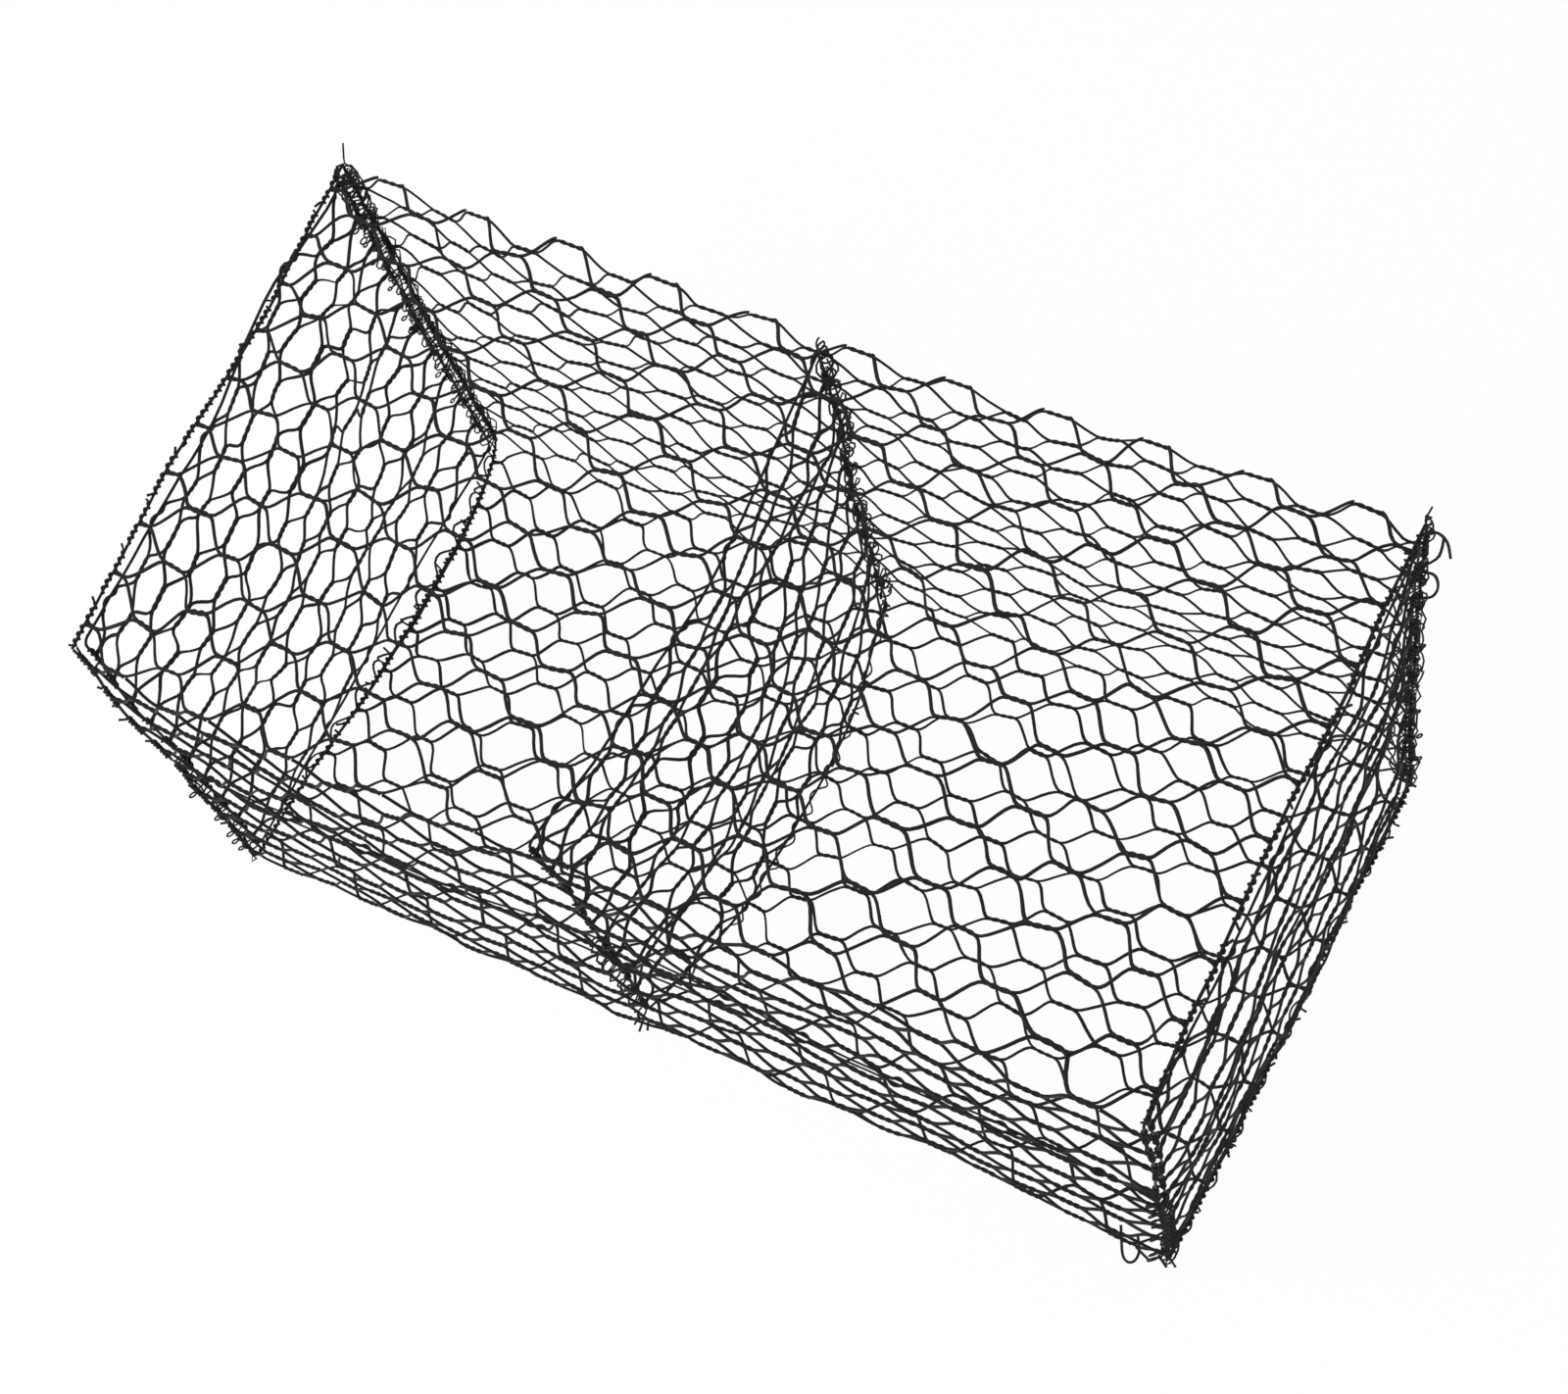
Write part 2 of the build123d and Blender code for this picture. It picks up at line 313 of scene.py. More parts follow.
def draw_wires(name, paths, diameter, caps=True, closed=False, level=False):
    """One mesh of round wires along lists of points. level keeps the flats level, for flat weave."""
    curve = bpy.data.curves.new(name, "CURVE")
    curve.dimensions = "3D"
    curve.twist_mode = "Z_UP" if level else "MINIMUM"
    curve.bevel_depth = diameter / 2
    curve.bevel_resolution = 1
    curve.use_fill_caps = caps
    for path in paths:
        spline = curve.splines.new("POLY")
        spline.points.add(len(path) - 1)
        for point, place in zip(spline.points, path):
            point.co = (*place, 1)
        spline.use_cyclic_u = closed
    wire = bpy.data.objects.new(name, curve)
    bpy.context.collection.objects.link(wire)
    select_only(wire)
    bpy.ops.object.convert(target="MESH")
    return bpy.context.object


def join(objects, name):
    """Joins objects into the first one and names it."""
    select_only(*objects)
    bpy.ops.object.join()
    bpy.context.object.name = name
    bpy.context.object.data.name = name
    return bpy.context.object


# %% [markdown]
# ## One twist of the mesh
#
# Double-twist mesh is made of wires that run side by side. Each wire is twisted one and a
# half turns with its left neighbour, then with its right one, and so on, which leaves
# six-sided openings. The unit that repeats is one twist with half a slanted arm at each of
# its four corners. Its two wires are the same helix, half a turn apart.

# %% Steps of a twist and its arms
twist_steps = 9
arm_lead = 6 * mm
arm_steps = 3
bending_arm_steps = 10
twist_half_turns = 3
selvedge_half_turns = 2


def helix(start, radius, half_turns):
    """Points of one wire along a twist. start is the side that it begins on, -1 or 1."""
    points = []
    for step in range(twist_steps + 1):
        share = step / twist_steps
        angle = math.pi * half_turns * share
        along = twist_length * (share - 0.5)
        points.append((along, start * radius * math.cos(angle), start * radius * math.sin(angle)))
    return points


def arm(side_u, side_v, period, pitch, steps=arm_steps):
    """Points of a rounded half arm from the twist's end, which is left out, to its far end."""
    begin = Vector((side_u * twist_length / 2, side_v * twist_radius, 0))
    lead = begin + Vector((side_u * arm_lead, 0, 0))
    far = Vector((side_u * period / 4, side_v * pitch / 4, 0))
    points = []
    for step in range(1, steps + 1):
        share = step / steps
        points.append(tuple(begin.lerp(lead, share).lerp(lead.lerp(far, share), share)))
    return points


def whole_twist(period, pitch):
    """A twist inside the mesh, with four half arms."""
    paths = []
    for start in (-1, 1):
        entering = arm(-1, start, period, pitch)[::-1]
        leaving = arm(1, -start, period, pitch)
        paths.append([*entering, *helix(start, twist_radius, twist_half_turns), *leaving])
    return paths


# %% Twists at the folds and the selvedges
def fold_twist(side, period, pitch):
    """A twist on a fold at the high (1) or low (-1) side, with arms on the inner side only."""
    return [
        [*arm(-1, -side, period, pitch)[::-1], *helix(-side, twist_radius, twist_half_turns)],
        [*helix(side, twist_radius, twist_half_turns), *arm(1, -side, period, pitch)],
    ]


def fold_arms(side, period, pitch):
    """Only the arms that leave a fold, in many short steps, because they bend when the lid opens."""
    left = (-twist_length / 2, -side * twist_radius, 0)
    right = (twist_length / 2, -side * twist_radius, 0)
    return [
        [*arm(-1, -side, period, pitch, bending_arm_steps)[::-1], left],
        [right, *arm(1, -side, period, pitch, bending_arm_steps)],
    ]


def selvedge_twist(side, period, pitch):
    """The last wire of the mesh, wound once round the selvedge wire at that side."""
    coil = helix(-side, coil_radius, selvedge_half_turns)
    return [[*arm(-1, -side, period, pitch)[::-1], *coil, *arm(1, -side, period, pitch)]]


# %% [markdown]
# ## Cut ends
#
# Where the sheet is cut across, each twist is cut through its middle. Its two wires are wound
# round the thicker edge wire, one up and one down, and their tips stand out as short barbs.
# They are slightly different every time, because they are wound fast and by machine jaws. On
# the sheet the coils are long and nearly meet, and on the upright panels they are shorter.
# Under the base no tip points down, because the basket stands on it.

# %% Kinds of cut ends
coil_pitch = 13 * mm
coil_steps_per_turn = 7
turns_vary_by = 0.9
tuck = 4 * mm
sheet_ends = {"most_turns": 3.2, "barb": 13 * mm, "droop": -9 * mm, "wire": coil_wire}
back_ends = {**sheet_ends, "barb": 6 * mm, "wire": fine_coil_wire}
base_ends = {**sheet_ends, "droop": 0}
upright_ends = {**sheet_ends, "most_turns": 2.2, "barb": 7 * mm}
fine_upright_ends = {**upright_ends, "wire": fine_coil_wire}
print("the longest coil is", round(sheet_ends["most_turns"] * coil_pitch / mm), "mm long")


# %% The paths of one cut end
def cut_end(side, half_length, at, ends):
    """Two coils round the edge wire at one side of a panel, with a barb at the end of each."""
    axis = half_length + edge_wire / 2
    paths = []
    for way in (-1, 1):
        turns = ends["most_turns"] - chance.uniform(0, turns_vary_by)
        steps = round(turns * coil_steps_per_turn)
        path = [(side * (half_length - tuck), at + way * mesh_wire / 2, 0)]
        for step in range(steps + 1):
            angle = math.pi + way * 2 * math.pi * turns * step / steps
            out = side * (axis + coil_radius * math.cos(angle))
            along = at + way * (mesh_wire / 2 + coil_pitch * turns * step / steps)
            path.append((out, along, coil_radius * math.sin(angle)))
        barb_x = side * chance.uniform(0.3, 1) * ends["barb"]
        barb_y = way * chance.uniform(3, 11) * mm
        barb_z = chance.uniform(ends["droop"], 9 * mm)
        path.append(tuple(Vector(path[-1]) + Vector((barb_x, barb_y, barb_z))))
        paths.append(path)
    return paths


# %% [markdown]
# ## Weaving a panel
#
# The unit is repeated with two Array modifiers, one along the twists and one across. A second
# set, moved by half a step both ways, fills the gaps. Merging the arms where they meet makes
# every wire run right through. The panel is then cut to length with bisect, and the cut ends
# are wound on. Drawing every wire in full would also work, but repeating one unit is quicker.

# %% Repeat the unit
def repeat(piece, count, step):
    """Repeats a piece count times, each moved by step from the one before."""
    select_only(piece)
    bpy.ops.object.modifier_add(type="ARRAY")
    array = piece.modifiers[-1]
    array.use_relative_offset = False
    array.use_constant_offset = True
    array.constant_offset_displace = step
    array.count = count
    bpy.ops.object.modifier_apply(modifier=array.name)


def lay_units(paths, place, counts, period, pitch, wire):
    """Draws one unit, moves it to its first place and repeats it along and across."""
    unit = draw_wires("unit", paths, wire, caps=False, level=True)
    unit.data.transform(Matrix.Translation((*place, 0)))
    repeat(unit, counts[0], (period, 0, 0))
    if counts[1] > 1:
        repeat(unit, counts[1], (0, pitch, 0))
    return unit


# %% Weave, cut and finish a flat panel
edge_kinds = {"twist": fold_twist, "arms": fold_arms, "selvedge": selvedge_twist}


def cut_to_length(panel, half_length):
    """Merges the arms where they meet and cuts both ends off square."""
    bpy.ops.object.mode_set(mode="EDIT")
    bpy.ops.mesh.select_all(action="SELECT")
    bpy.ops.mesh.remove_doubles(threshold=0.2 * mm)
    for side in (-1, 1):
        bpy.ops.mesh.select_all(action="SELECT")
        bpy.ops.mesh.bisect(
            plane_co=(side * half_length, 0, 0), plane_no=(side, 0, 0), clear_outer=True, use_fill=True
        )
    bpy.ops.mesh.select_all(action="SELECT")
    bpy.ops.mesh.normals_make_consistent(inside=False)
    bpy.ops.object.mode_set(mode="OBJECT")


def wind_cut_ends(panel, half_length, pitch, half_periods, rows, ends):
    """Winds the cut twists of both sides of a panel on their edge wires."""
    first = [(row + 0.5) * pitch for row in range(rows)]
    last = [row * pitch for row in range(1, rows)] if half_periods % 2 else first
    paths = []
    for side, places in ((-1, first), (1, last)):
        for at in places:
            paths += cut_end(side, half_length, at, ends)
    coils = draw_wires("coils", paths, ends["wire"])
    return join([panel, coils], panel.name)


def weave_panel(name, half_length, height, half_periods, rows, edges, wire, ends):
    """A flat panel of mesh, its twists along X on both sides of 0 and its rows up Y from 0."""
    period = 4 * half_length / half_periods
    pitch = height / rows
    even = half_periods // 2 + 1
    odd = (half_periods + 1) // 2
    start = -half_length
    shifted = start + period / 2
    whole = whole_twist(period, pitch)
    low_unit = edge_kinds[edges[0]](-1, period, pitch)
    high_unit = edge_kinds[edges[1]](1, period, pitch)
    parts = [
        lay_units(whole, (start, pitch / 2), (even, rows), period, pitch, wire),
        lay_units(whole, (shifted, pitch), (odd, rows - 1), period, pitch, wire),
        lay_units(low_unit, (shifted, 0), (odd, 1), period, pitch, wire),
        lay_units(high_unit, (shifted, height), (odd, 1), period, pitch, wire),
    ]
    panel = join(parts, name + "_woven")
    cut_to_length(panel, half_length)
    return wind_cut_ends(panel, half_length, pitch, half_periods, rows, ends)


# %% [markdown]
# ## Making it uneven
#
# Real mesh is pulled about when it is unrolled, folded and laced, so no two openings are
# alike. Smooth noise moves the wires a few millimetres, less and less towards the edges,
# which the edge wires hold straight. In the plane there are broad pulls, a pull for each
# opening and small kinks. Out of the plane there are pleats and creases. Shaping each opening
# by hand would take days, and noise gives the same look with a handful of numbers.

# %% Pull the weave about
# Each pull is given as its waves in a metre and its strength.
pulls_in_plane = [(3, 1.1), (9, 0.8), (24, 0.12)]
pleat_strength = 1.6
creases_in_metre = 13
crease_strength = 0.35
edge_fade = 55 * mm


def uneven(place, shift, stretch, pleats_in_metre):
    """A smooth random pull. Below 1, stretch draws the pleats out along the twists."""
    pull = Vector((0, 0, 0))
    for waves, strength in pulls_in_plane:
        pull += noise.noise_vector(place * waves + shift) * strength
    drawn_out = Vector((place.x * stretch, place.y, 0))
    pleat = noise.noise_vector(drawn_out * pleats_in_metre + shift)
    crease = noise.noise_vector(drawn_out * creases_in_metre + shift)
    pull.z = pleat.z * pleat_strength + crease.z * crease_strength
    return pull


def unsettle(panel, half_length, height, seed, in_plane, out_of_plane, stretch=1, pleats_in_metre=3):
    """Moves the wires of a flat panel by a random pull that fades out at its edges."""
    shift = Vector((seed * 7.3, seed * 3.1, seed * 5.7))
    for vertex in panel.data.vertices:
        u, v, w = vertex.co
        room = min(half_length - abs(u), v, height - v)
        weight = min(max(room / edge_fade, 0), 1)
        move = uneven(Vector((u, v, 0)), shift, stretch, pleats_in_metre)
        vertex.co = (
            u + move.x * in_plane * weight,
            v + move.y * in_plane * weight,
            w + move.z * out_of_plane * weight,
        )


# %% [markdown]
# ## Standing the panels up
#
# Each panel is woven lying flat and then placed by the direction of its twists and the
# direction of its rows. Moving the mesh and not the object keeps every finished piece at the
# origin, where the construction model's nodes are too.

# %% Place a flat panel in the basket
def place_panel(panel, origin, along, up):
    """Lays a flat panel into the basket: its X goes along, its Y goes up, from an origin."""
    along = Vector(along)
    up = Vector(up)
    turn = Matrix((along, up, along.cross(up))).transposed()
    panel.data.transform(Matrix.Translation(origin) @ turn.to_4x4())


# %% [markdown]
# ## The sheet
#
# One long sheet makes five sides: the lower front, the base, the back, the lid and the flap.
# It is folded on rows of twists, which gives the scalloped line along the top of the back. It
# could be woven as one strip and bent, but flat panels are easier to cut and to pull about,
# and the folds hide where they meet: each fold's twists belong to one of the two panels, and
# the other starts with its arms. The foot of the lower front has no sharp fold. The sheet
# comes round there in a soft bend, so its first rows are pushed out a little.

# %% Describe the five parts of the sheet
sheet_pull = 17 * mm
sheet_parts = [
    # name, rows, low and high edge, height, origin, way of the rows, loose pull, wire, cut ends
    (
        "base_mesh", rows_up, ("twist", "twist"), 2 * back_y,
        (0, -back_y, base_z), (0, 1, 0), 3 * mm, mesh_wire, base_ends,
    ),
    (
        "back_mesh", rows_up, ("arms", "twist"), fold_z - mesh_wire - base_z,
        (0, back_y, base_z), (0, 0, 1), 16 * mm, back_wire, back_ends,
    ),
    (
        "lower_front_mesh", rows_below_seam, ("arms", "selvedge"), lower_seam_z - base_z,
        (0, -back_y, base_z), (0, 0, 1), 7 * mm, mesh_wire, sheet_ends,
    ),
    (
        "lid_mesh", rows_up, ("twist", "arms"), 2 * back_y,
        (0, -back_y, lid_z), (0, 1, 0), 16 * mm, mesh_wire, sheet_ends,
    ),
    (
        "flap_mesh", rows_in_flap, ("selvedge", "arms"), fold_z - mesh_wire / 2 - upper_seam_z,
        (0, -back_y, upper_seam_z), (0, 0, 1), 9 * mm, mesh_wire, sheet_ends,
    ),
]
print(len(sheet_parts), "parts of the sheet")

# %% Weave the sheet
soft_bend = 15 * mm
soft_bend_rise = 50 * mm
soft_bend_fade = 300 * mm


def soften_foot(panel, height):
    """Pushes the lower front out, most just above its foot and not at all at its ends and top."""
    for vertex in panel.data.vertices:
        rise = min(vertex.co.y / soft_bend_rise, 1) * (1 - vertex.co.y / height)
        vertex.co.z += soft_bend * rise * min((sheet_reach - abs(vertex.co.x)) / soft_bend_fade, 1)


panels = {}
for seed, part in enumerate(sheet_parts):
    name, rows, edges, height, origin, up, loose, wire, ends = part
    panel = weave_panel(name, sheet_reach, height, half_periods_along, rows, edges, wire, ends)
    unsettle(panel, sheet_reach, height, seed, sheet_pull, loose)
    if name == "lower_front_mesh":
        soften_foot(panel, height)
    place_panel(panel, origin, (1, 0, 0), up)
    panels[name] = panel
    print(name, len(panel.data.polygons), "faces")

# %% [markdown]
# ## The upright panels
#
# The two ends and the divider are cut from narrower mesh with its twists lying level across
# the basket. Their top and bottom rows are wound on the edge wire as a selvedge is. Their top
# edges are loose and hang in a curve, most of all the divider's. Mesh bends most easily
# between its twists, so the pleats of these panels are narrow and run level, along the twists.

# %% Describe the upright panels
panel_reach = panel_y - edge_wire / 2
panel_height = panel_top_z - panel_low_z
left_sag = 24 * mm
right_sag = 46 * mm
divider_sag = 90 * mm
upright_stretch = 0.35
upright_pleats_in_metre = 5.5
upright_edges = ("selvedge", "selvedge")
first_upright_seed = 10
upright_parts = [
    # name, place, sag of the top, pull in the plane, pull out of it, mesh wire, cut ends
    ("left_end_mesh", -end_x, left_sag, 26 * mm, 18 * mm, mesh_wire, upright_ends),
    ("right_end_mesh", end_x, right_sag, 22 * mm, 19 * mm, right_end_wire, fine_upright_ends),
    ("diaphragm_mesh", divider_x, divider_sag, 22 * mm, 28 * mm, mesh_wire, upright_ends),
]
print(len(upright_parts), "upright panels,", round(2 * panel_reach, 3), "m across")


# %% Weave the ends and the divider
def hang(u, v, sag):
    """How far a point of an upright panel hangs down, most at the middle of its top."""
    share = min(max(v / panel_height, 0), 1)
    return sag * (1 - (u / panel_y) ** 2) * share**2


for seed, part in enumerate(upright_parts, first_upright_seed):
    name, x, sag, in_plane, out_of_plane, wire, ends = part
    panel = weave_panel(
        name, panel_reach, panel_height, half_periods_across, rows_up, upright_edges, wire, ends
    )
    unsettle(
        panel, panel_reach, panel_height, seed, in_plane, out_of_plane,
        upright_stretch, upright_pleats_in_metre,
    )
    for vertex in panel.data.vertices:
        vertex.co.y -= hang(vertex.co.x, vertex.co.y, sag)
    place_panel(panel, (x, 0, panel_low_z), (0, 1, 0), (0, 0, 1))
    panels[name] = panel
    print(name, len(panel.data.polygons), "faces")

# %% [markdown]
# ## Edge wires
#
# Each panel is wound on thicker wires that give the basket its edges. They are drawn from
# straight runs and round bends. Long runs get a point every few centimetres, so that they can
# bend with the basket later on.

# %% Straight runs and round bends
point_spacing = 40 * mm
bend_steps = 4


def straight_run(start, end):
    """Points from start to end, a few centimetres apart."""
    start = Vector(start)
    end = Vector(end)
    count = max(round((end - start).length / point_spacing), 1)
    return [tuple(start.lerp(end, step / count)) for step in range(count + 1)]


def round_bend(corner, before, after, radius):
    """Points of an arc that takes a square corner from the way before to the way after."""
    before = before.normalized()
    after = after.normalized()
    centre = corner - before * radius + after * radius
    points = []
    for step in range(bend_steps + 1):
        angle = math.pi / 2 * step / bend_steps
        points.append(tuple(centre - after * radius * math.cos(angle) + before * radius * math.sin(angle)))
    return points


def routed(corners, radius, closed=False):
    """Points along a route of straight runs with round bends at its corners."""
    corners = [Vector(corner) for corner in corners]
    count = len(corners)
    bends = []
    for index in range(count):
        if not closed and index in (0, count - 1):
            bends.append([tuple(corners[index])])
            continue
        before = corners[index] - corners[index - 1]
        after = corners[(index + 1) % count] - corners[index]
        bends.append(round_bend(corners[index], before, after, radius))
    points = list(bends[0])
    following = bends[1:] + bends[:1] if closed else bends[1:]
    for bend in following:
        run = straight_run(points[-1], bend[0])
        points += run[1:-1]
        points += bend
    if closed:
        points = points[: -len(bends[0])]
    return points


# %% [markdown]
# ## One wire for each panel and each side
#
# An upright panel has one closed wire all round, which hangs with its top. The fixed part of
# the sheet has a wire along each cut edge, from the seam down the front, under the base and
# up the back. The lid and the flap have wires of their own, so that they can open. The seam
# across the front has two thin wires, which are woven in.

# %% Draw one edge wire
frame_bend = 14 * mm
body_bend = 16 * mm
edge_wires = {}


def panel_wire_route(x, sag):
    """The closed route of the wire round an upright panel."""
    corners = [
        (x, -panel_y, panel_low_z), (x, panel_y, panel_low_z),
        (x, panel_y, panel_top_z), (x, -panel_y, panel_top_z),
    ]
    route = []
    for place_x, y, z in routed(corners, frame_bend, closed=True):
        route.append((place_x, y, z - hang(y, z - panel_low_z, sag)))
    return route


def add_edge_wire(node, path, wire, closed=False):
    """Draws one edge wire for a node."""
    edge_wires[node] = draw_wires(node + "_bent", [path], wire, closed=closed)
    print(node, len(path), "points")


# %% Draw all the edge wires
sides = [("left", -end_x, left_sag, edge_wire), ("right", end_x, right_sag, right_edge_wire)]
for word, x, sag, wire in sides:
    body_corners = [
        (x, -back_y, lower_seam_z - edge_wire / 2), (x, -back_y, base_z),
        (x, back_y, base_z), (x, back_y, fold_z),
    ]
    lid_run = straight_run((x, -back_y, lid_z), (x, back_y, lid_z))
    flap_run = straight_run((x, -back_y, upper_seam_z + edge_wire), (x, -back_y, fold_z - edge_wire / 2))
    add_edge_wire(f"body_edge_wire_{word}", routed(body_corners, body_bend), wire)
    add_edge_wire(f"lid_edge_wire_{word}", lid_run, edge_wire)
    add_edge_wire(f"flap_edge_wire_{word}", flap_run, edge_wire)
    add_edge_wire(f"{word}_end_edge_wire", panel_wire_route(x, sag), wire, closed=True)
add_edge_wire("diaphragm_edge_wire", panel_wire_route(divider_x, divider_sag), edge_wire, closed=True)
for node, z in (("body_front_selvedge_wire", lower_seam_z), ("flap_selvedge_wire", upper_seam_z)):
    add_edge_wire(node, straight_run((-end_x, -back_y, z), (end_x, -back_y, z)), seam_wire)

# %% [markdown]
# ## Lacing
#
# The panels are tied together on site with one long soft wire along each edge. It runs along
# the edge first and is then wound back over itself in wide open turns, with a tight turn or
# a small ring here and there. It is pulled by hand, so no two turns are alike. A screw
# modifier would give a perfect spring, so each turn is drawn by itself, with chance in its
# size. A place on an edge is given by a length along it and two offsets, p and q.

# %% Places beside an edge
bundle_half = bundle_step / 2


def along_upright(x, y, side):
    """An upright edge at a corner. side is 1 at the back and -1 at the front; q points outward."""
    outward = -1 if x < divider_x else 1

    def edge(s, p, q):
        return (x + outward * q, y - side * (bundle_half - p), s)

    return edge


def along_floor(x):
    """The bottom edge of an upright panel, from the back to the front."""

    def edge(s, p, q):
        return (x + q, s, base_z + bundle_half + p * 0.8)

    return edge


# %% Turns and rings
loop_steps = 10


def turn(edge, at, climb, size_p, size_q):
    """One turn of the wire round both edge wires."""
    points = []
    for step in range(loop_steps):
        angle = 2 * math.pi * step / loop_steps
        along = at + climb * step / loop_steps
        points.append(edge(along, size_p * math.cos(angle), size_q * math.sin(angle)))
    return points


def ring(edge, at, size_p, size_q, way, size):
    """A small ring that stands out beside the edge, the way that way points in p and q."""
    points = []
    for step in range(loop_steps + 1):
        angle = 2 * math.pi * step / loop_steps
        out = size * (1 - math.cos(angle))
        points.append(edge(at + size * math.sin(angle), way[0] * (size_p + out), way[1] * (size_q + out)))
    return points


# %% The wound part of a lacing
tight_turns = 0.3
tight_climb = lacing_wire * 1.4


def lacing_path(edge, start, end, spacing, sizes, ring_way, rings=0.4, swell=(1.0, 1.0)):
    """Open turns along an edge, with tight turns and rings. swell is their size at start and end."""
    points = []
    at = start
    while at < end:
        share = (at - start) / (end - start)
        size = (swell[0] + (swell[1] - swell[0]) * share) * chance.uniform(0.8, 1.2)
        size_p = sizes[0] * size
        size_q = sizes[1] * size
        climb = min(spacing * chance.uniform(0.8, 1.2), end - at + 1 * mm)
        points += turn(edge, at, climb, size_p, size_q)
        at += climb
        if chance.random() < tight_turns:
            points += turn(edge, at, tight_climb, size_p * 0.8, size_q * 0.9)
            at += tight_climb
        if chance.random() < rings:
            points += ring(edge, at, size_p, size_q, ring_way, chance.uniform(4, 7) * mm)
    return points


# %% [markdown]
# ## Runs, chains and knots
#
# The back corners carry more wire than the others. Loose runs wander up and down beside the
# edge, and on the right two strands part and cross like the links of a chain. At the top the
# rest of the wire is wound over and over into a knot. Its ends stick out as bent tails, which
# are two wires twisted together, so they are drawn thicker. A tail is given by a few places,
# and a smooth curve through them takes the corners out of it.

# %% Runs and chains
run_step = 26 * mm
chain_steps = 8


def run_along(edge, start, end, p, q, sway):
    """A loose run of the lacing, from end back to start, that wanders beside the edge wires."""
    points = []
    at = end
    while at > start:
        points.append(edge(at, p + chance.uniform(-sway, sway), q + chance.uniform(-sway, sway) * 0.6))
        at -= run_step
    return points


def chain(edge, start, end, p, q, size, length):
    """Up one strand and down the other: they part and cross every length, with ovals between."""
    strands = []
    for side in (-1, 1):
        strand = []
        for step in range(round(chain_steps * (end - start) / length) + 1):
            swing = side * size * math.sin(math.pi * step / chain_steps)
            at = start + length * step / chain_steps
            strand.append(edge(at, p + chance.uniform(-1, 1) * mm, q + swing * chance.uniform(0.8, 1.2)))
        strands.append(strand)
    return strands[0] + strands[1][::-1]


# %% Knots and tails
def knot(x, y, z, size, turns, climb, taper):
    """Wire wound over and over at a corner, each turn tilted another way and smaller upward."""
    points = []
    for count in range(turns):
        tilt = chance.uniform(-0.8, 0.8)
        slant = chance.uniform(-0.8, 0.8)
        width = size * (1 - taper * count / turns)
        for step in range(loop_steps):
            angle = 2 * math.pi * step / loop_steps
            p = width * math.cos(angle)
            q = width * 0.7 * math.sin(angle)
            points.append((x + q, y + p, z + (count + step / loop_steps) * climb + tilt * p + slant * q))
    return points


def beside(corner, *moves):
    """Places that are given in mm from a corner: along the basket, to the back and up."""
    return [tuple(value + step * mm for value, step in zip(corner, move)) for move in moves]


def rounded(points, steps=4):
    """A smooth line through a few points, so that a bent free end has no corners."""
    points = [Vector(point) for point in points]
    ends = [points[0], *points, points[-1]]
    smooth = []
    for before, start, end, after in zip(ends, ends[1:], ends[2:], ends[3:]):
        slope = end - before
        bend = 2 * before - 5 * start + 4 * end - after
        turn_back = 3 * start - before - 3 * end + after
        for step in range(steps):
            share = step / steps
            smooth.append(start + (slope * share + bend * share**2 + turn_back * share**3) / 2)
    return [tuple(point) for point in [*smooth, points[-1]]]


# %% One lacing wire for each node
lacings = {}


def add_lacing(node, path, tails=(), diameter=lacing_wire):
    """Draws one lacing wire for a node, and its free ends as heavier doubled wire."""
    wire = draw_wires(node + "_wound", [path], diameter)
    if tails:
        ends = draw_wires("tails", [rounded(tail) for tail in tails], tail_wire)
        wire = join([wire, ends], node + "_wound")
    lacings[node] = wire
    print(node, len(path), "points and", len(tails), "tails")


# %% [markdown]
# ## Lacing the two ends
#
# The back lacing stops below the fold, where the knots start, and the front lacing just under
# the seam. The photograph shows the knots and tails, so each edge gets its own sizes.

# %% Where the lacing starts and stops
left = -end_x
right = end_x
back = back_y
front = -back_y
on_ground = 5 * mm
foot = 30 * mm
back_head = fold_z - 150 * mm
front_head = lower_seam_z - 14 * mm
front_run_head = lower_seam_z - 20 * mm
print("the back lacing is", round(back_head - foot, 3), "m long")

# %% Lace the left end
edge = along_upright(left, back, 1)
add_lacing("left_back_lacing", [
    *run_along(edge, foot, back_head, 2 * mm, 8 * mm, 5 * mm),
    *beside((left, back, on_ground), (-20, 2, 0), (-6, 0, 6)),
    *run_along(edge, foot, back_head, -18 * mm, -7 * mm, 4 * mm)[::-1],
    *run_along(edge, foot, back_head, 16 * mm, -3 * mm, 4 * mm),
    *run_along(edge, foot, back_head, 20 * mm, 6 * mm, 4 * mm)[::-1],
    *lacing_path(edge, 40 * mm, back_head, 46 * mm, (26 * mm, 16 * mm), (-1, 0.4), 0.5)[::-1],
    *lacing_path(edge, 40 * mm, back_head, 60 * mm, (22 * mm, 14 * mm), (-1, 0.4), 0.4),
    *knot(left, back - 8 * mm, back_head, 26 * mm, 8, 12 * mm, 0.0),
    *knot(left + 3 * mm, back - 6 * mm, fold_z - 54 * mm, 22 * mm, 9, 6 * mm, 0.15),
    *beside((left, back, fold_z), (2, 8, 14), (-4, 26, 32)),
], (), back_lacing_wire)

edge = along_upright(left, front, -1)
add_lacing("left_front_lacing", [
    *run_along(edge, foot, front_run_head, 2 * mm, 6 * mm, 4 * mm),
    *beside((left, front, on_ground), (-8, -12, 0), (0, -4, 4)),
    *lacing_path(edge, foot, front_head, 42 * mm, (14 * mm, 12 * mm), (0.9, 0.5), 0.4),
])

